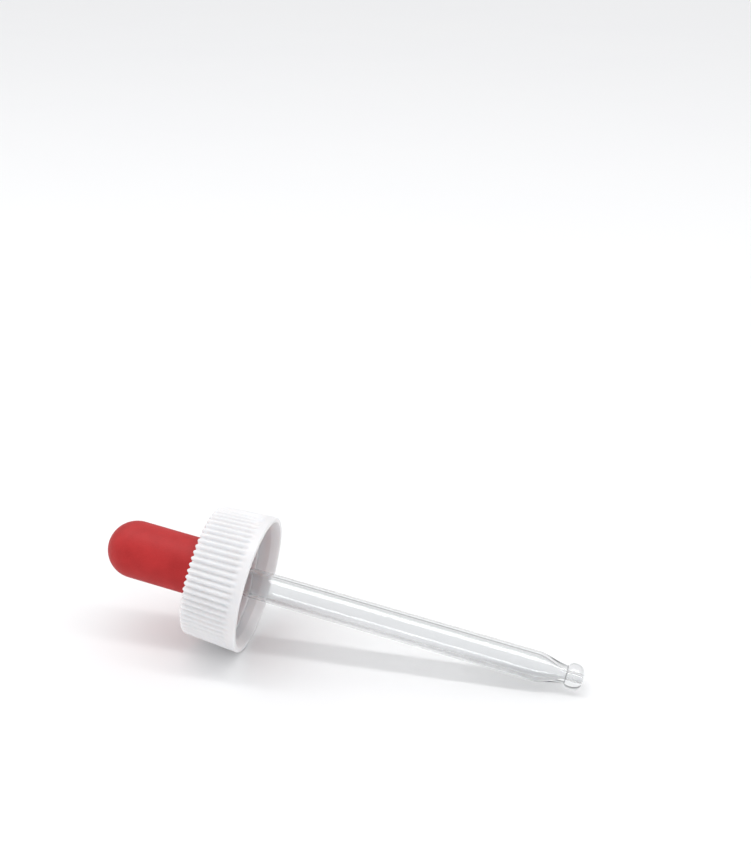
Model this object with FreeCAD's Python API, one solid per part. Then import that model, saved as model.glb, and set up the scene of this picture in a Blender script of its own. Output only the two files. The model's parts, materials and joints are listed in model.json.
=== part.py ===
import FreeCAD, Part
import math
import os

# A medicine dropper lying on a table: a ribbed screw cap, a rubber bulb that buttons into the
# hole in the cap, and a glass pipette gripped by the bulb's neck.
# Every piece is first drawn along its own axis: x is 0 at the cap's open rim, grows towards the
# pipette's tip, and is negative inside the cap and in the bulb. lay_down() then tilts it.
# Millimetres throughout.

# Screw cap, for a 22 mm bottle neck with the common 400 thread.
cap_rim_diameter = 25.6
cap_top_diameter = 24.2
cap_height = 10.8
cap_panel = 1.3
cap_edge_round = 0.7
rim_chamfer = 0.2
rim_land = 0.9
lead_in_depth = 1.6
thread_root_diameter = 22.2
thread_height = 1.0
thread_root_width = 1.7
thread_crest_width = 0.7
thread_pitch = 3.175
thread_turns = 1.25
thread_start = 2.2
rib_count = 64
rib_depth = 0.42
rib_groove_width = 0.9
rib_free_band = 1.5

# Rubber bulb: dome, neck in the cap's hole, and a flange inside that seals on the bottle.
bulb_diameter = 10.7
bulb_length = 18.5
bulb_wall = 1.2
bulb_neck_diameter = 9.8
bulb_floor = 2.0
flange_thickness = 1.8

# The two places where a finger and thumb press the bulb, each a pad of its own wall.
pad_start = 5.0
pad_length = 9.0
pad_width = 5.4

# Glass pipette.
pipette_diameter = 5.4
pipette_wall = 0.85
pipette_length = 75.0
pipette_reach = 3.5
pipette_end_round = 0.3
taper_length = 5.4
tip_neck_diameter = 3.34
bead_diameter = 4.9
bead_length = 3.8
orifice_diameter = 1.24

# Clearances, each on one side.
neck_clearance = 0.06
panel_clearance = 0.06
flange_clearance = 0.25
grip_clearance = 0.05
pad_clearance = 0.15

# Stations along the axis and radii that several pieces share.
cap_face = -cap_height
panel_under = cap_face + cap_panel
thread_root = thread_root_diameter / 2
thread_crest = thread_root - thread_height
rim_radius = cap_rim_diameter / 2
cap_top_radius = cap_top_diameter / 2
bulb_radius = bulb_diameter / 2
bulb_neck_radius = bulb_neck_diameter / 2
bulb_cavity_radius = bulb_radius - bulb_wall
bulb_shoulder = cap_face - panel_clearance
bulb_top = cap_face - bulb_length
dome_centre = bulb_top + bulb_radius
cavity_floor = bulb_shoulder - bulb_floor
flange_back = panel_under + panel_clearance
flange_face = flange_back + flange_thickness
flange_radius = thread_crest - flange_clearance
pipette_radius = pipette_diameter / 2
pipette_bore = pipette_radius - pipette_wall
pipette_top = cap_face - pipette_reach
pipette_tip = pipette_top + pipette_length
tip_neck_radius = tip_neck_diameter / 2
bead_radius = bead_diameter / 2
orifice_radius = orifice_diameter / 2

# How far the tools that cut or join a piece reach past it, and how often the tilt is refined.
groove_overrun = 1.0
thread_buried = 0.3
tilt_rounds = 12


def point(x, y, z=0.0):
    """A point as FreeCAD holds it."""
    return FreeCAD.Vector(x, y, z)


AXIS = point(1, 0, 0)
CENTRE = point(0, 0, 0)


def bead_offset(radius):
    """How far from the bead's middle its oval outline has this radius."""
    return bead_length / 2 * math.sqrt(1 - (radius / bead_radius) ** 2)


bead_centre = pipette_tip - bead_offset(orifice_radius)
taper_end = bead_centre - bead_offset(tip_neck_radius)
taper_start = taper_end - taper_length


def line(*ends):
    """One straight edge between two (x, radius) points."""
    return Part.LineSegment(point(*ends[0]), point(*ends[1])).toShape()


def polyline(points):
    """Straight edges through (x, radius) points."""
    return [line(a, b) for a, b in zip(points, points[1:])]


def arc(start, middle, end):
    """A circular edge through three (x, radius) points."""
    return Part.Arc(point(*start), point(*middle), point(*end)).toShape()


def corner(centre, radius, start_deg, end_deg):
    """A circular edge about a centre, from one angle to another, in degrees from +x."""
    angles = [math.radians(a) for a in (start_deg, (start_deg + end_deg) / 2, end_deg)]
    ends = [(centre[0] + radius * math.cos(a), centre[1] + radius * math.sin(a)) for a in angles]
    return arc(*ends)


def easing(start, end):
    """An S-shaped edge that leaves and arrives parallel to the axis."""
    third = (end[0] - start[0]) / 3
    curve = Part.BezierCurve()
    poles = [start, (start[0] + third, start[1]), (end[0] - third, end[1]), end]
    curve.setPoles([point(*p) for p in poles])
    return curve.toShape()


def turned(edges):
    """The solid that a closed outline makes when it turns about the axis."""
    wire = Part.Wire(Part.__sortEdges__(edges))
    return Part.Face(wire).revolve(CENTRE, AXIS, 360)


def skirt_radius(x):
    """Radius of the cap's drafted outside at a station."""
    return rim_radius + (rim_radius - cap_top_radius) * x / cap_height


def cap_blank():
    """The cap before its ribs and thread: skirt, panel with the bulb's hole, lead-in at the mouth."""
    hole = bulb_neck_radius + neck_clearance
    top_corner = (cap_face + cap_edge_round, skirt_radius(cap_face + cap_edge_round) - cap_edge_round)
    edge = corner(top_corner, cap_edge_round, 90, 180)
    corners = [
        (top_corner[0], top_corner[1] + cap_edge_round),
        (-rim_chamfer, skirt_radius(-rim_chamfer)),
        (0, rim_radius - rim_chamfer),
        (0, rim_radius - rim_land),
        (-lead_in_depth, thread_root),
        (panel_under, thread_root),
        (panel_under, hole),
        (cap_face, hole),
        (cap_face, top_corner[1]),
    ]
    return turned([edge] + polyline(corners))


def rib_groove():
    """The V cut between two ribs, along the skirt at the top of the circle."""
    back = cap_face - groove_overrun
    front = -rib_free_band
    spread = rib_groove_width / 2 * (1 + groove_overrun / rib_depth)

    def section(x):
        radius = skirt_radius(x)
        corners = [
            point(x, 0, radius - rib_depth),
            point(x, spread, radius + groove_overrun),
            point(x, -spread, radius + groove_overrun),
        ]
        return Part.makePolygon(corners + corners[:1])

    return Part.makeLoft([section(back), section(front)], True)


def thread_ridge():
    """The cap's inside thread: one ridge that winds about the axis and sinks into the wall."""
    helix = Part.makeHelix(thread_pitch, thread_pitch * thread_turns, thread_root)
    half_crest = thread_crest_width / 2
    flank_slope = (thread_root_width - thread_crest_width) / 2 / thread_height
    half_buried = half_crest + flank_slope * (thread_height + thread_buried)
    corners = [
        point(thread_root + thread_buried, 0, -half_buried),
        point(thread_crest, 0, -half_crest),
        point(thread_crest, 0, half_crest),
        point(thread_root + thread_buried, 0, half_buried),
    ]
    section = Part.makePolygon(corners + corners[:1])
    ridge = Part.Wire(helix.Edges).makePipeShell([section], True, True)
    ridge.rotate(CENTRE, point(0, 1, 0), -90)
    ridge.translate(point(-thread_start, 0, 0))
    return ridge


def screw_cap():
    """The ribbed cap with its thread."""
    grooves = []
    for i in range(rib_count):
        groove = rib_groove()
        groove.rotate(CENTRE, AXIS, 360 * i / rib_count)
        grooves.append(groove)
    return cap_blank().cut(grooves).fuse(thread_ridge()).removeSplitter()


def whole_bulb():
    """The bulb as it is moulded, in one piece: flange, neck and hollow dome."""
    grip = pipette_radius + grip_clearance
    outside = [
        (flange_face, grip),
        (flange_face, flange_radius),
        (flange_back, flange_radius),
        (flange_back, bulb_neck_radius),
        (bulb_shoulder, bulb_neck_radius),
        (bulb_shoulder, bulb_radius),
        (dome_centre, bulb_radius),
    ]
    inside = [
        (dome_centre, bulb_cavity_radius),
        (cavity_floor, bulb_cavity_radius),
        (cavity_floor, grip),
        (flange_face, grip),
    ]
    domes = [
        corner((dome_centre, 0), bulb_radius, 90, 180),
        corner((dome_centre, 0), bulb_cavity_radius, 90, 180),
        line((bulb_top, 0), (bulb_top + bulb_wall, 0)),
    ]
    return turned(polyline(outside) + polyline(inside) + domes)


def pad_bar(width, length):
    """A bar with round ends across the bulb, as long and wide as one pinch pad, standing along Y."""
    middle = cap_face - pad_start - pad_length / 2
    half = width / 2
    straight = (length - width) / 2
    edges = [
        line((middle - straight, half), (middle + straight, half)),
        corner((middle + straight, 0), half, 90, -90),
        line((middle + straight, -half), (middle - straight, -half)),
        corner((middle - straight, 0), half, 270, 90),
    ]
    face = Part.Face(Part.Wire(Part.__sortEdges__(edges)))
    face.rotate(CENTRE, AXIS, 90)
    face.translate(point(0, -bulb_diameter, 0))
    return face.extrude(point(0, 2 * bulb_diameter, 0))


def rubber_bulb():
    """The bulb without the two pads that a squeeze pushes in."""
    gap = 2 * pad_clearance
    return whole_bulb().cut(pad_bar(pad_width + gap, pad_length + gap))


def bulb_pad(side):
    """One pad of the bulb's wall, on the +y side or the -y side."""
    pads = whole_bulb().common(pad_bar(pad_width, pad_length))
    return [s for s in pads.Solids if s.CenterOfMass.y * side > 0][0]


def bead_outline():
    """The bead's oval edge, from the neck over its widest point to the orifice."""
    widest = point(bead_centre, bead_radius)
    oval = Part.Ellipse(widest, point(bead_centre + bead_length / 2, 0), point(bead_centre, 0))
    start = -math.acos(tip_neck_radius / bead_radius)
    end = math.acos(orifice_radius / bead_radius)
    return Part.ArcOfEllipse(oval, start, end).toShape()


def glass_pipette():
    """The tube, drawn down to a narrow neck and melted into a bead round its orifice."""
    end_corner = (pipette_top + pipette_end_round, pipette_radius - pipette_end_round)
    outside = [
        corner(end_corner, pipette_end_round, 180, 90),
        line((end_corner[0], pipette_radius), (taper_start, pipette_radius)),
        easing((taper_start, pipette_radius), (taper_end, tip_neck_radius)),
        bead_outline(),
    ]
    inside = [
        line((pipette_tip, orifice_radius), (taper_end, orifice_radius)),
        easing((taper_start, pipette_bore), (taper_end, orifice_radius)),
        line((taper_start, pipette_bore), (pipette_top, pipette_bore)),
        line((pipette_top, pipette_bore), (pipette_top, end_corner[1])),
    ]
    return turned(outside + inside)


def lying_tilt():
    """The angle at which the cap's rim and the oval bead both touch the table."""
    tilt = 0.0
    for _ in range(tilt_rounds):
        bead_drop = math.hypot(bead_radius * math.cos(tilt), bead_length / 2 * math.sin(tilt))
        rim_drop = skirt_radius(-rim_chamfer) * math.cos(tilt)
        tilt = math.asin((rim_drop - bead_drop) / (bead_centre + rim_chamfer))
    return tilt


def lay_down(shape, tilt):
    """Turn a piece tip-down about the rim's middle."""
    shape.rotate(CENTRE, point(0, 1, 0), math.degrees(tilt))
    return shape


def pieces():
    """Every node of the dropper, still along its own axis."""
    return {
        "screw_cap": screw_cap(),
        "rubber_bulb": rubber_bulb(),
        "bulb_pad_left": bulb_pad(1),
        "bulb_pad_right": bulb_pad(-1),
        "glass_pipette": glass_pipette(),
    }


def main():
    """Lay the dropper on the table, centre it over the origin and write one file for each node."""
    os.makedirs("parts", exist_ok=True)
    tilt = lying_tilt()
    nodes = {name: lay_down(shape, tilt) for name, shape in pieces().items()}
    box = Part.makeCompound(list(nodes.values())).optimalBoundingBox(False, False)
    origin = point((box.XMin + box.XMax) / 2, (box.YMin + box.YMax) / 2, box.ZMin)
    for name, shape in nodes.items():
        shape.translate(-origin)
        print(name, "solids", len(shape.Solids), "valid", shape.isValid(), "mm3", round(shape.Volume, 2))
        shape.exportStep(os.path.join("parts", name + ".step"))
    rim = -origin
    print("tilt", math.degrees(tilt), "rim centre", rim.x, rim.y, rim.z)
    print("size", box.XLength, box.YLength, box.ZLength)


main()
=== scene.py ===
# %% [markdown]
# # A medicine dropper
#
# The real object is the closure of a small medicine bottle, lying on a table: a white ribbed screw
# cap, a red rubber bulb that buttons into the hole in the cap, and a clear glass pipette held in the
# bulb's neck. All three are round about one axis, so nearly every shape here starts as an outline
# that is turned about that axis, as on a lathe. What isn't round (the cap's ribs, the thread's
# ends, the soft unevenness of the glass) is worked into the turned mesh afterwards.
#
# The CAD model is loaded first and stays as it is. It says where the dropper lies, which bodies
# move and how large each piece is. The pieces made below take their places from it.

# %% Load the CAD model
import json
import math

import bmesh
import bpy
from mathutils import Matrix, Vector


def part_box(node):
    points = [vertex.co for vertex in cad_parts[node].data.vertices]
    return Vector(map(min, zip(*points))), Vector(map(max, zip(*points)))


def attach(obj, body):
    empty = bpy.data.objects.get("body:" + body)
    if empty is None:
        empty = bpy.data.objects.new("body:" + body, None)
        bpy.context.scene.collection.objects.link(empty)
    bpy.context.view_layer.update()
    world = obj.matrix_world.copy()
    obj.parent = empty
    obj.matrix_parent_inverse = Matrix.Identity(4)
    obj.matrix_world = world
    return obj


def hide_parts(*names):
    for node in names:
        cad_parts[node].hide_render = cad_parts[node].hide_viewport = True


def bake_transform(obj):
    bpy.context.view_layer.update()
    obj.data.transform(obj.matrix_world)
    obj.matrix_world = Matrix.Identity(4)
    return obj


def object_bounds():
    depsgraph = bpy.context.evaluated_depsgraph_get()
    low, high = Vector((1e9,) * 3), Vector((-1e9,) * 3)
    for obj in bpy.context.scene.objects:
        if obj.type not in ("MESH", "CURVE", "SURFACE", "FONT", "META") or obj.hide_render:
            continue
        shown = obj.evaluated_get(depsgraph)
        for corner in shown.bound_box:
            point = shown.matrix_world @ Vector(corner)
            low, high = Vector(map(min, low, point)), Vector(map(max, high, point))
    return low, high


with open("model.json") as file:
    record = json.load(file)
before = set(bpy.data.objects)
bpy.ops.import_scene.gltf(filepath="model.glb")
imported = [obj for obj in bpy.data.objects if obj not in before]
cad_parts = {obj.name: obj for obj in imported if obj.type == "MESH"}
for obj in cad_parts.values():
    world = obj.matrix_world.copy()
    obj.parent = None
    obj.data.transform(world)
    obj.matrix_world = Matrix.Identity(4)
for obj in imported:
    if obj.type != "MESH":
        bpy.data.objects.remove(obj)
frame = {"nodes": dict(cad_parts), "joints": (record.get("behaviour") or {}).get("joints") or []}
cad_low, cad_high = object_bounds()
print("CAD nodes:", sorted(frame["nodes"]))
print("CAD box, mm:", [round(1000 * side, 1) for side in cad_high - cad_low])

# %% [markdown]
# ## The dropper's own axis
#
# The dropper leans: it rests on the rim of its cap and on the bead at its tip. Drawing turned
# shapes on a leaning axis is awkward, so every piece is drawn on a straight one, where x runs from
# the cap's closed face towards the tip and z is the radius. One matrix then lays the finished mesh
# down. The matrix comes from the joint that lets the bulb turn in the cap, because its pivot is the
# middle of the cap's closed face and its axis is the dropper's.

# %% The lying matrix
MM = 0.001  # the drawings below are in millimetres, and Blender is in metres
swivel = next(j for j in frame["joints"] if j["name"] == "cap_swivel")
along = Vector(swivel["axis"]).normalized()
side = Vector((0, 1, 0))
above = along.cross(side)
cap_middle = Vector(swivel["pos_m"])
lie_down = Matrix.Translation(cap_middle) @ Matrix((along, side, above)).transposed().to_4x4()
table = cad_low.z


def lying(x, y, z):
    """A point of the drawings, in millimetres, as it lies in the scene."""
    return lie_down @ (Vector((x, y, z)) * MM)


def width_mm(node):
    """How wide a CAD node is across the table, in millimetres."""
    low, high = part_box(node)
    return (high[1] - low[1]) / MM


dip = math.degrees(math.asin(-along.z))
print("the axis dips", round(dip, 2), "degrees")

# %% [markdown]
# ## Sizes
#
# The pipette's radius is read from its CAD node. The other sizes are given here: the widest ones, and
# the pieces' own walls, lengths and roundings. Lengths along the axis are counted from the cap's closed
# face.

# %% Sizes in millimetres
rim_radius = 12.8
cap_height = 10.8
cap_top_radius = 12.1
cap_panel = 1.3
thread_root = 11.1
bulb_radius = 5.35
bulb_neck = 4.9
bulb_length = 18.5
bulb_wall = 1.2
flange_radius = 9.85
pipette_radius = width_mm("glass_pipette") / 2
pipette_top = -3.5
hair = 0.06  # the running clearance between the bulb and the cap
print("pipette radius from its node:", round(pipette_radius, 3))

# %% [markdown]
# ## A lathe
#
# A turned shape needs an outline, a rounding at each of its corners, and a full spin. The outline
# is a chain of edges from a few vertices. `bmesh.ops.bevel` on a single vertex replaces a corner
# with an arc, which is how a designer would round it too, and `bmesh.ops.spin` sweeps the chain
# round the axis. An outline that starts and ends on the axis closes at two poles, and one that is
# a loop closes on itself, like a ring.

# %% Lathe helpers
FULL_TURN = 2 * math.pi
AXIS = (1, 0, 0)
CENTRE = (0, 0, 0)
WELD = 1e-4  # millimetres: vertices nearer than this are one vertex


def outline(corners, closed=False):
    """A chain of edges through (x, radius, rounding, segments) corners, with each corner rounded."""
    bm = bmesh.new()
    points = [bm.verts.new((c[0], 0, c[1])) for c in corners]
    for start, end in zip(points, points[1:] + points[:1] if closed else points[1:]):
        bm.edges.new((start, end))
    for vert, (_, _, rounding, segments) in zip(points, corners):
        if rounding:
            turn_corner(bm, vert, rounding, segments)
    return bm


def turn_corner(bm, vert, rounding, segments):
    """Replace one corner of an outline with an arc of this radius."""
    ends = [(e.other_vert(vert).co - vert.co).normalized() for e in vert.link_edges]
    half_angle = ends[0].angle(ends[1]) / 2
    reach = rounding / math.tan(half_angle)
    bmesh.ops.bevel(
        bm, geom=[vert], offset=reach, offset_type="OFFSET", segments=segments,
        profile=0.5, affect="VERTICES", material=-1,
    )


def split_edges(bm, longest):
    """Cut the outline's long straight edges, so that the turned mesh has rings to work with."""
    for edge in list(bm.edges):
        cuts = math.ceil(edge.calc_length() / longest) - 1
        if cuts > 0:
            bmesh.ops.subdivide_edges(bm, edges=[edge], cuts=cuts)


def spin(bm, steps):
    """Turn an outline right round the axis and weld what meets."""
    bmesh.ops.spin(
        bm, geom=bm.verts[:] + bm.edges[:], cent=CENTRE, axis=AXIS, dvec=(0, 0, 0),
        angle=FULL_TURN, steps=steps, use_merge=True, use_duplicate=False,
    )
    bmesh.ops.remove_doubles(bm, verts=bm.verts, dist=WELD)
    bmesh.ops.recalc_face_normals(bm, faces=bm.faces)


def finish_mesh(bm, name, material, sharp_deg=35):
    """Lay the drawn mesh down, in metres, and make it an object with smooth shading."""
    bmesh.ops.transform(bm, matrix=lie_down @ Matrix.Scale(MM, 4), verts=bm.verts)
    mesh = bpy.data.meshes.new(name)
    bm.to_mesh(mesh)
    bm.free()
    mesh.shade_smooth()
    mesh.set_sharp_from_angle(angle=math.radians(sharp_deg))
    mesh.materials.append(material)
    piece = bpy.data.objects.new(name, mesh)
    bpy.context.scene.collection.objects.link(piece)
    print(name, "has", len(mesh.polygons), "faces")
    return piece


# %% [markdown]
# ## Node helpers
#
# Each finish below is a small node tree. These helpers only save typing: one starts a material,
# one adds a node with its values, and one makes a soft noise in the object's own coordinates,
# which stay with the piece when it moves.

# %% Node helpers
def new_material(name):
    """A material with nodes, and its Principled shader."""
    material = bpy.data.materials.new(name)
    material.use_nodes = True
    return material, material.node_tree, material.node_tree.nodes["Principled BSDF"]


def add_node(tree, kind, **values):
    """A node of this kind, with its properties set."""
    node = tree.nodes.new(kind)
    for name, value in values.items():
        setattr(node, name, value)
    return node


def dropper_coordinates(tree, stretch=(1, 1, 1)):
    """Object coordinates turned so that x runs along the dropper, in millimetres."""
    place = add_node(tree, "ShaderNodeTexCoord")
    turned = add_node(tree, "ShaderNodeMapping", vector_type="POINT")
    back = lie_down.inverted()
    turned.inputs["Rotation"].default_value = back.to_euler()
    turned.inputs["Location"].default_value = back.to_translation() / MM
    turned.inputs["Scale"].default_value = (1 / MM, 1 / MM, 1 / MM)
    tree.links.new(place.outputs["Object"], turned.inputs["Vector"])
    if stretch == (1, 1, 1):
        return turned.outputs["Vector"]
    scaled = add_node(tree, "ShaderNodeVectorMath", operation="MULTIPLY")
    scaled.inputs[1].default_value = stretch
    tree.links.new(turned.outputs["Vector"], scaled.inputs[0])
    return scaled.outputs["Vector"]


def noise(tree, place, scale, detail=3.0, roughness=0.5):
    """A soft noise whose scale is in features per millimetre."""
    node = add_node(tree, "ShaderNodeTexNoise")
    node.inputs["Scale"].default_value = scale
    node.inputs["Detail"].default_value = detail
    node.inputs["Roughness"].default_value = roughness
    tree.links.new(place, node.inputs["Vector"])
    return node.outputs["Fac"]


def spread(tree, value, low, high, start=0.3, end=0.7):
    """Map the middle of a noise to a range of values."""
    node = add_node(tree, "ShaderNodeMapRange")
    node.inputs["From Min"].default_value = start
    node.inputs["From Max"].default_value = end
    node.inputs["To Min"].default_value = low
    node.inputs["To Max"].default_value = high
    tree.links.new(value, node.inputs["Value"])
    return node.outputs["Result"]


def mix_colours(tree, factor, first, second):
    """A colour between two others, as a socket."""
    node = add_node(tree, "ShaderNodeMix", data_type="RGBA")
    for socket, colour in ((node.inputs[6], first), (node.inputs[7], second)):
        if isinstance(colour, tuple):
            socket.default_value = (*colour, 1)
        else:
            tree.links.new(colour, socket)
    tree.links.new(factor, node.inputs[0])
    return node.outputs[2]


def bump(tree, shader, height, depth_mm):
    """Let a height pattern of this depth dent the surface."""
    node = add_node(tree, "ShaderNodeBump")
    node.inputs["Strength"].default_value = 1.0
    node.inputs["Distance"].default_value = depth_mm * MM
    tree.links.new(height, node.inputs["Height"])
    tree.links.new(node.outputs["Normal"], shader.inputs["Normal"])


# %% [markdown]
# ## Finish: white cap plastic
#
# The cap is injection-moulded polypropylene. It is satin rather than glossy, very slightly
# translucent, and its skin has a faint orange peel from the mould. Real white plastic is never one
# value all over: handling and flow leave it a little greyer in places. Two noises do that, a slow
# one for the tint and the polish, and a fine one for the skin.

# %% Make the cap plastic
def make_cap_plastic():
    """Satin white moulded plastic."""
    material, tree, shader = new_material("satin white cap plastic")
    place = dropper_coordinates(tree)
    slow = noise(tree, place, 0.22, detail=2)
    fine = noise(tree, place, 3.5, detail=4)
    tint = mix_colours(tree, spread(tree, slow, 0, 1), (0.765, 0.76, 0.77), (0.735, 0.73, 0.74))
    tree.links.new(tint, shader.inputs["Base Color"])
    tree.links.new(spread(tree, slow, 0.34, 0.46), shader.inputs["Roughness"])
    bump(tree, shader, fine, 0.012)
    shader.inputs["IOR"].default_value = 1.49
    shader.inputs["Specular IOR Level"].default_value = 0.3
    shader.inputs["Subsurface Weight"].default_value = 0.8
    shader.inputs["Subsurface Radius"].default_value = (1.0, 0.9, 0.85)
    shader.inputs["Subsurface Scale"].default_value = 2.0 * MM
    return material


cap_plastic = make_cap_plastic()
print("made", cap_plastic.name)

# %% [markdown]
# ## The screw cap
#
# The cap is a cup with a hole in its closed end. Its outline is a loop, so the spin makes a ring
# with a wall, a panel and a mouth in one closed mesh. The wall leans in by a few degrees towards
# the closed end, as a moulding must to leave its tool. Straight stretches are cut into short ones
# first, because the ribs need rings of vertices to follow.

# %% Turn the cap
rib_count = 64
columns_per_rib = 12
edge_round = 0.7
rim_round = 0.3
lip_round = 0.12
hole_round = 0.15
lead_in_round = 0.4
floor_round = 0.5
lead_in = 1.6
rim_land = 0.9


def turned_cap():
    """The cap before it gets its ribs."""
    bm = outline(
        [
            (0, bulb_neck + hair, hole_round, 3),
            (0, cap_top_radius, edge_round, 8),
            (cap_height, rim_radius, rim_round, 5),
            (cap_height, rim_radius - rim_land, lip_round, 3),
            (cap_height - lead_in, thread_root, lead_in_round, 3),
            (cap_panel, thread_root, floor_round, 5),
            (cap_panel, bulb_neck + hair, hole_round, 3),
        ],
        closed=True,
    )
    split_edges(bm, longest=0.55)
    spin(bm, rib_count * columns_per_rib)
    return bm


cap_mesh = turned_cap()
print("turned cap:", len(cap_mesh.verts), "vertices")

# %% [markdown]
# ## The ribs
#
# The 64 ribs are rounded ridges with a narrow valley between them. They run over the edge of the
# closed end, which gives the cap its scalloped outline there, and fade out just short of the mouth,
# where the rim is a smooth band. Each outside vertex sinks square to the surface: towards the axis
# on the wall, along the axis on the closed face, and something between on the edge. How far it
# sinks is the rib's round profile at its angle, times how much of the rib is left at its place.

# %% Press the ribs
rib_depth = 0.42
crest_power = 1.2  # above 1, a crest is wider than a valley
smooth_band = 1.5  # the band at the rim that has no ribs
rib_fade = 0.9     # over this length along the wall the ribs fade into the band
rib_run_in = 1.6   # over this width of the closed face they rise towards its edge


def ease(t):
    """0 to 1 with a soft start and end."""
    t = min(max(t, 0.0), 1.0)
    return t * t * (3 - 2 * t)


def rib_profile(angle):
    """0 on a rib's crest and 1 in the valley beside it, with the crest a little wider."""
    across = angle / FULL_TURN * rib_count % 1.0
    from_crest = abs(2 * across - 1)
    return (1 - math.cos(math.pi * from_crest**crest_power)) / 2


def outward(x, radius):
    """Which way the cap's surface faces here: out along the wall, round the edge, or along the axis."""
    past_edge = max(edge_round - x, 0.0)
    past_face = max(radius - (cap_top_radius - edge_round), 0.0)
    length = math.hypot(past_edge, past_face)
    return (-past_edge / length, past_face / length) if length else (0.0, 0.0)


def rib_share(x, radius):
    """How much of its depth a rib has here: none on the smooth band or the middle of the face."""
    on_face = ease((radius - (cap_top_radius - edge_round - rib_run_in)) / rib_run_in)
    before_band = ease((cap_height - smooth_band - x) / rib_fade)
    return on_face * before_band


def press_ribs(bm):
    """Sink the valleys between the ribs."""
    for vert in bm.verts:
        radius = math.hypot(vert.co.y, vert.co.z)
        face_x, face_r = outward(vert.co.x, radius)
        profile = rib_profile(math.atan2(vert.co.y, vert.co.z) + math.pi)
        sink = rib_depth * rib_share(vert.co.x, radius) * profile
        vert.co.x -= sink * face_x
        vert.co.y *= (radius - sink * face_r) / radius
        vert.co.z *= (radius - sink * face_r) / radius


press_ribs(cap_mesh)
ribbed_cap = finish_mesh(cap_mesh, "ribbed_cap", cap_plastic)
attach(ribbed_cap, "cap")

# %% [markdown]
# ## The thread
#
# Inside the mouth a single ridge winds once and a quarter round the wall. It is a spin again, this
# time with a step forward along the axis at each turn, so its section sweeps out a screw. The ends
# of a moulded thread don't stop dead: they sink into the wall over a few millimetres.

# %% Wind the thread
thread_pitch = 3.175
thread_turns = 1.25
thread_steps = 160
thread_start = 2.2
thread_height = 1.0
thread_root_half = 0.85
thread_crest_half = 0.35
thread_buried = 0.3  # how far the ridge's back goes into the wall
thread_sunk = 0.05   # how far below the wall's surface the crest is at either end
thread_fade = 0.09   # share of the thread's length over which an end sinks into the wall
section_corners = 6


def thread_ridge():
    """One ridge that winds into the cap from near its mouth."""
    bm = bmesh.new()
    middle = cap_height - thread_start
    back = thread_root + thread_buried
    crest = thread_root - thread_height
    section = [
        (-thread_root_half, back), (-thread_root_half, thread_root), (-thread_crest_half, crest),
        (thread_crest_half, crest), (thread_root_half, thread_root), (thread_root_half, back),
    ]
    corners = [bm.verts.new((middle + x, 0, radius)) for x, radius in section]
    face = bm.faces.new(corners)
    step = Vector((-thread_pitch * thread_turns / thread_steps, 0, 0))
    bmesh.ops.spin(
        bm, geom=[face], cent=CENTRE, axis=AXIS, dvec=step,
        angle=FULL_TURN * thread_turns, steps=thread_steps, use_merge=False, use_duplicate=False,
    )
    return bm


thread_mesh = thread_ridge()
print("thread ridge:", len(thread_mesh.verts), "vertices")

# %% [markdown]
# The ridge is still a plain bar with blunt ends. How far round the screw a vertex is could be worked
# out from its angle and its place along the axis together. It is simpler to use the order in which
# the spin made the sections: six corners each, from the start of the thread to its end.

# %% Sink the thread's ends
def sink_ends(bm):
    """Bury both ends of the ridge in the wall."""
    sections = len(bm.verts) // section_corners
    for i, vert in enumerate(bm.verts):
        passed = (i // section_corners) / (sections - 1)
        height = ease(min(passed, 1 - passed) / thread_fade)
        radius = math.hypot(vert.co.y, vert.co.z)
        if radius < thread_root:
            wanted = thread_root + thread_sunk - (thread_height + thread_sunk) * height
            vert.co.y *= wanted / radius
            vert.co.z *= wanted / radius


sink_ends(thread_mesh)
bmesh.ops.recalc_face_normals(thread_mesh, faces=thread_mesh.faces)
cap_thread = finish_mesh(thread_mesh, "cap_thread", cap_plastic)
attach(cap_thread, "cap")
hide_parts("screw_cap")

# %% [markdown]
# ## Finish: red rubber
#
# The bulb is natural rubber, moulded matt. Light catches a dusty bloom on it, so it looks paler and
# pinker where it faces the light and a deep clear red elsewhere. A wide sheen gives that bloom, a
# mottle of two noises breaks up the colour, and a fine bump is the tooth of the moulded skin.

# %% Make the red rubber
def make_bulb_rubber():
    """Matt red moulded rubber with a faint bloom."""
    material, tree, shader = new_material("matt red rubber")
    place = dropper_coordinates(tree)
    cloud = noise(tree, place, 0.35, detail=3)
    grain = noise(tree, place, 5.0, detail=5, roughness=0.65)
    clear = mix_colours(tree, spread(tree, cloud, 0, 1), (0.47, 0.020, 0.021), (0.39, 0.014, 0.015))
    dusty = mix_colours(tree, spread(tree, grain, 0, 0.25), clear, (0.55, 0.06, 0.06))
    tree.links.new(dusty, shader.inputs["Base Color"])
    tree.links.new(spread(tree, grain, 0.50, 0.68), shader.inputs["Roughness"])
    bump(tree, shader, grain, 0.03)
    shader.inputs["IOR"].default_value = 1.5
    shader.inputs["Specular IOR Level"].default_value = 0.2
    shader.inputs["Sheen Weight"].default_value = 0.05
    shader.inputs["Sheen Roughness"].default_value = 0.5
    shader.inputs["Sheen Tint"].default_value = (1.0, 0.75, 0.75, 1)
    return material


bulb_rubber = make_bulb_rubber()
print("made", bulb_rubber.name)

# %% [markdown]
# ## The bulb's foot
#
# The bulb is one moulding, but it moves in two ways: its dome gives when it is pinched, while its
# foot stays put in the cap. The foot is the neck that fills the cap's hole and the flange inside
# the cap, which keeps the bulb in and seals on the bottle. It is a turned ring of its own.

# %% Turn the bulb's foot
grip = pipette_radius + 0.03
flange_thickness = 1.8
flange_back = cap_panel + hair
flange_face = flange_back + flange_thickness
dome_foot = -hair
bore_round = 0.35
flange_rounds = (0.5, 0.3)  # its edge on the seal's side, and on the panel's side
neck_round = 0.15


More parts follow.
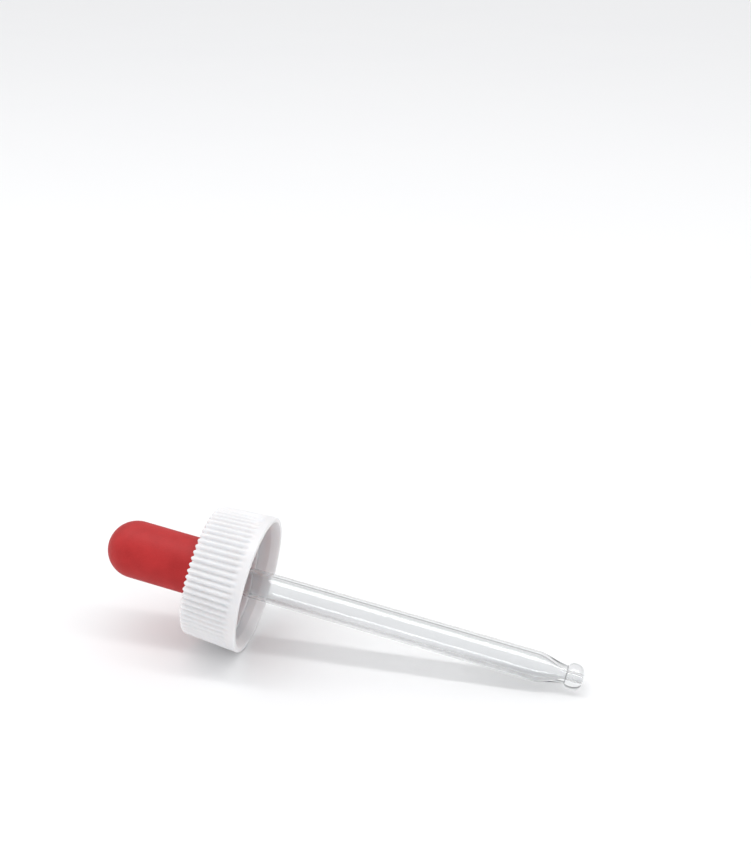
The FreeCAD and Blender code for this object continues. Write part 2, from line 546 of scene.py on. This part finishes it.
def turned_foot():
    """The neck and the flange, with the bore that grips the pipette."""
    bm = outline(
        [
            (dome_foot, bulb_neck, 0, 0),
            (dome_foot, grip, 0, 0),
            (flange_face, grip, bore_round, 5),
            (flange_face, flange_radius, flange_rounds[0], 6),
            (flange_back, flange_radius, flange_rounds[1], 4),
            (flange_back, bulb_neck, neck_round, 3),
        ],
        closed=True,
    )
    spin(bm, 160)
    return bm


bulb_foot = finish_mesh(turned_foot(), "bulb_foot", bulb_rubber)
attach(bulb_foot, "bulb")

# %% [markdown]
# ## The bulb's dome
#
# The dome is a tube with a round end, 1.2 mm thick. Finger and thumb press it from both sides, and the
# CAD model has two sprung pads there. A real bulb has no pads: its whole wall gives. So the dome is cut
# in half lengthwise, one half for each side.
#
# The two halves have to shade as one, so the rings of vertices beside the cut are put exactly on
# the circle before the cut is made.

# %% Turn the dome
dome_segments = 24
dome_floor = 2.0    # how thick the dome is where it stands on the cap
foot_round = 0.35
floor_hole_round = 0.2
cavity_round = 0.8
seam_band = 0.05    # how far from the cut the rings beside it lie


def turned_dome():
    """The dome, hollow, from its foot on the cap to its round end."""
    cavity = bulb_radius - bulb_wall
    cavity_floor = dome_foot - dome_floor
    end = -bulb_length
    bm = outline(
        [
            (end, 0, 0, 0),
            (end, bulb_radius, bulb_radius, dome_segments),
            (dome_foot, bulb_radius, foot_round, 5),
            (dome_foot, grip, 0, 0),
            (cavity_floor, grip, floor_hole_round, 3),
            (cavity_floor, cavity, cavity_round, 5),
            (end + bulb_wall, cavity, cavity, dome_segments),
            (end + bulb_wall, 0, 0, 0),
        ],
    )
    bmesh.ops.remove_doubles(bm, verts=bm.verts, dist=WELD)
    split_edges(bm, longest=0.5)
    spin(bm, 192)
    return bm


def cut_plane(bm, y, clear_far=False, clear_near=False):
    """Cut the mesh along a plane across the sides, and optionally drop what lies beyond it."""
    return bmesh.ops.bisect_plane(
        bm, geom=bm.verts[:] + bm.edges[:] + bm.faces[:], dist=WELD, plane_co=(0, y, 0),
        plane_no=(0, 1, 0), clear_outer=clear_far, clear_inner=clear_near,
    )


def half_dome(sign):
    """The half of the dome on one side, closed along the cut."""
    bm = turned_dome()
    rings = cut_plane(bm, sign * seam_band)["geom_cut"]
    for vert in (v for v in rings if isinstance(v, bmesh.types.BMVert)):
        true_radius = ring_radius(vert)
        height = math.sqrt(max(true_radius**2 - seam_band**2, 0))
        vert.co.z = math.copysign(height, vert.co.z)
    cut_plane(bm, 0, clear_far=sign < 0, clear_near=sign > 0)
    open_edges = [e for e in bm.edges if e.is_boundary]
    bmesh.ops.holes_fill(bm, edges=open_edges, sides=0)
    bmesh.ops.recalc_face_normals(bm, faces=bm.faces)
    return bm


def ring_radius(vert):
    """The radius of the ring that a freshly cut vertex lies on, from its neighbours there."""
    beside = [e.other_vert(vert).co for e in vert.link_edges]
    same_ring = [math.hypot(co.y, co.z) for co in beside if abs(co.x - vert.co.x) < WELD]
    return max(same_ring, default=math.hypot(vert.co.y, vert.co.z))


dome_half_left = finish_mesh(half_dome(1), "dome_half_left", bulb_rubber)
dome_half_right = finish_mesh(half_dome(-1), "dome_half_right", bulb_rubber)

# %% [markdown]
# ## The halves in place
#
# Each half's place is baked into its mesh, and the CAD bulb and its two pads are hidden.

# %% Bake the halves and hide the CAD bulb
for half, pad, sign in (
    (dome_half_left, "bulb_wall_left", 1),
    (dome_half_right, "bulb_wall_right", -1),
):
    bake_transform(half)
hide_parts("bulb_pad_left", "rubber_bulb")
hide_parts("bulb_pad_right")

# %% [markdown]
# ## Finish: clear glass
#
# The pipette is drawn soda-lime glass, clear with a faint cool grey in its thickness. It isn't
# optically perfect: drawing leaves long shallow waves that run with the tube, so its reflections
# waver a little along their length. The noise that makes them is stretched along the axis. A
# second one smears the tint and takes a hair off the polish, as handling does.

# %% Make the glass
def make_pipette_glass():
    """Clear drawn glass with faint draw lines."""
    material, tree, shader = new_material("clear drawn glass")
    waves = noise(tree, dropper_coordinates(tree, stretch=(0.03, 1, 1)), 0.9, detail=2)
    smears = noise(tree, dropper_coordinates(tree), 0.5, detail=3)
    tint = mix_colours(tree, spread(tree, smears, 0, 1), (0.885, 0.892, 0.897), (0.87, 0.877, 0.883))
    tree.links.new(tint, shader.inputs["Base Color"])
    tree.links.new(spread(tree, smears, 0.0, 0.006), shader.inputs["Roughness"])
    bump(tree, shader, waves, 0.004)
    shader.inputs["Transmission Weight"].default_value = 1.0
    shader.inputs["IOR"].default_value = 1.51
    return material


pipette_glass = make_pipette_glass()
print("made", pipette_glass.name)

# %% [markdown]
# ## The glass pipette
#
# The pipette is a tube whose end was heated, pulled down to a narrow neck and then melted back
# into a bead round a small hole. Its outline is a loop again: up the bore, round the tip and back
# along the outside. The pulled part is an S-curve, which comes from cutting its straight edge into
# many and easing the new points from one radius to the other. The bead has a steep shoulder behind
# and a round front, as melted glass draws itself up.

# %% Turn the pipette
glass_wall = 0.85
bore = pipette_radius - glass_wall
top_rounds = (0.2, 0.3)    # the cut top's edge inside and outside
orifice = 0.62
pulled_neck = 1.67
neck_run = 0.12            # the neck's straight stretch before the bead
pull_start = 62.87
pull_end = 68.27
pull_cuts = 23
bead_radius = 2.41
bead_front = 71.42
bead_shoulder = 0.5
bead_rounds = (1.1, 1.6)   # the bead behind and in front
orifice_round = 0.18


def ease_run(bm, start, end):
    """Cut the edge between two (x, radius) points and bend it into an S-curve."""
    spots = [Vector((x, 0, radius)) for x, radius in (start, end)]
    ends = {v for v in bm.verts if any((v.co - spot).length < WELD for spot in spots)}
    run = next(e for e in bm.edges if all(v in ends for v in e.verts))
    new = bmesh.ops.subdivide_edges(bm, edges=[run], cuts=pull_cuts)["geom_inner"]
    for vert in (v for v in new if isinstance(v, bmesh.types.BMVert)):
        t = (vert.co.x - start[0]) / (end[0] - start[0])
        vert.co.z = start[1] + (end[1] - start[1]) * ease(t)


def turned_pipette():
    """The whole tube, from its cut top to its bead."""
    bm = outline(
        [
            (pipette_top, bore, top_rounds[0], 3),
            (pipette_top, pipette_radius, top_rounds[1], 4),
            (pull_start, pipette_radius, 0, 0),
            (pull_end, pulled_neck, 0, 0),
            (pull_end + neck_run, pulled_neck, 0, 0),
            (pull_end + bead_shoulder, bead_radius, bead_rounds[0], 10),
            (bead_front, bead_radius, bead_rounds[1], 14),
            (bead_front, orifice, orifice_round, 6),
            (pull_end, orifice, 0, 0),
            (pull_start, bore, 0, 0),
        ],
        closed=True,
    )
    ease_run(bm, (pull_start, pipette_radius), (pull_end, pulled_neck))
    ease_run(bm, (pull_end, orifice), (pull_start, bore))
    split_edges(bm, longest=4.0)
    spin(bm, 144)
    return bm


glass_tube = finish_mesh(turned_pipette(), "glass_tube", pipette_glass, sharp_deg=60)
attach(glass_tube, "pipette")
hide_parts("glass_pipette")

# %% [markdown]
# ## The table
#
# The dropper lies on a plain near-white table. One large face is enough, but it has to reach far
# back, because the camera looks down at a slant and sees a long way over it. A whisper of noise in
# its colour and polish keeps it from being perfectly even.

# %% Lay the table
TABLE_SIZE = 8.0


def make_table_top():
    """Near-white matt board."""
    material, tree, shader = new_material("near white board")
    place = add_node(tree, "ShaderNodeTexCoord").outputs["Object"]
    cloud = noise(tree, place, 6.0)
    tint = mix_colours(tree, spread(tree, cloud, 0, 1), (0.90, 0.90, 0.90), (0.885, 0.885, 0.89))
    tree.links.new(tint, shader.inputs["Base Color"])
    tree.links.new(spread(tree, cloud, 0.55, 0.65), shader.inputs["Roughness"])
    shader.inputs["Specular IOR Level"].default_value = 0.2
    return material


table_mesh = bmesh.new()
bmesh.ops.create_grid(table_mesh, x_segments=1, y_segments=1, size=TABLE_SIZE / 2)
bmesh.ops.translate(table_mesh, verts=table_mesh.verts, vec=(0, 0, table))
mesh = bpy.data.meshes.new("table_top")
table_mesh.to_mesh(mesh)
table_mesh.free()
mesh.materials.append(make_table_top())
table_top = bpy.data.objects.new("table_top", mesh)
bpy.context.scene.collection.objects.link(table_top)
print("table", TABLE_SIZE, "m across")

# %% [markdown]
# ## Light
#
# A light tent stands over the table: a long strip of soft light overhead, and pale walls all round.
# Glass has no colour of its own, so what makes it readable is what it reflects and bends. The strip
# gives the bright lines along the tube, helped by a wider one that only shiny surfaces see. The wall
# behind the dropper is dull low down, and since the edges of a glass tube reflect what is low down
# behind it, that draws its outline.

# %% Hang the lights
def area_light(name, spot, aim, size, watts, colour=(1, 1, 1)):
    """A rectangular soft box at spot, facing aim. Its size is (along its own x, along its own y)."""
    light = bpy.data.lights.new(name, "AREA")
    light.shape = "RECTANGLE"
    light.size, light.size_y = size
    light.energy = watts
    light.color = colour
    holder = bpy.data.objects.new(name, light)
    holder.location = spot
    holder.rotation_euler = (Vector(aim) - Vector(spot)).to_track_quat("-Z", "Y").to_euler()
    bpy.context.scene.collection.objects.link(holder)
    return holder


GLOW_ABOVE = 0.98
GLOW_IN_FRONT = 0.95
GLOW_BEHIND = 0.06
WALL_TOP = 0.35  # the height, as the sine of its angle, where the walls are as bright as the top


def pale_walls():
    """Surroundings that are bright above and in front, and dull low down behind the dropper."""
    world = bpy.data.worlds.new("pale walls")
    world.use_nodes = True
    tree = world.node_tree
    direction = add_node(tree, "ShaderNodeTexCoord").outputs["Generated"]
    parts = add_node(tree, "ShaderNodeSeparateXYZ")
    tree.links.new(direction, parts.inputs["Vector"])
    low_down = spread(tree, parts.outputs["Y"], GLOW_IN_FRONT, GLOW_BEHIND, start=-0.3, end=0.3)
    climb = add_node(tree, "ShaderNodeMapRange")
    climb.inputs["From Max"].default_value = WALL_TOP
    climb.inputs["To Max"].default_value = GLOW_ABOVE
    tree.links.new(parts.outputs["Z"], climb.inputs["Value"])
    tree.links.new(low_down, climb.inputs["To Min"])
    background = tree.nodes["Background"]
    background.inputs["Color"].default_value = (0.985, 0.99, 1.0, 1)
    tree.links.new(climb.outputs["Result"], background.inputs["Strength"])
    return world


middle = (cad_low + cad_high) / 2
area_light("strip light overhead", middle + Vector((0, 0.03, 0.55)), middle, (1.1, 0.07), 1.25)
glint = area_light("glint strip", middle + Vector((0, 0.03, 0.56)), middle, (1.1, 0.18), 3.0)
glint.visible_diffuse = False
bpy.context.scene.world = pale_walls()
bpy.context.scene.view_settings.view_transform = "Standard"
print("lit")

# %% [markdown]
# ## The camera
#
# The camera stands in front of the tip's half of the dropper, a little way above the table, and
# looks down across it towards the left and back. Its place is counted from the middle of the cap's
# mouth and from the table. It is held a tenth of a degree off level.

# %% Place the camera
mouth = lying(cap_height, 0, 0)
right_of_mouth = 0.068858
before_mouth = 0.190407
above_table = 0.14045
tip_up, off_level, turned_left = 64.33, -0.108, 13.904  # degrees
camera = bpy.data.cameras.new("camera")
camera.lens = 53.93
camera.sensor_width = 36
camera.clip_start = 0.01
viewer = bpy.data.objects.new("camera", camera)
viewer.location = (mouth.x + right_of_mouth, mouth.y - before_mouth, table + above_table)
viewer.rotation_euler = [math.radians(angle) for angle in (tip_up, off_level, turned_left)]
bpy.context.scene.collection.objects.link(viewer)
bpy.context.scene.camera = viewer
print("camera", [round(v, 4) for v in viewer.location])
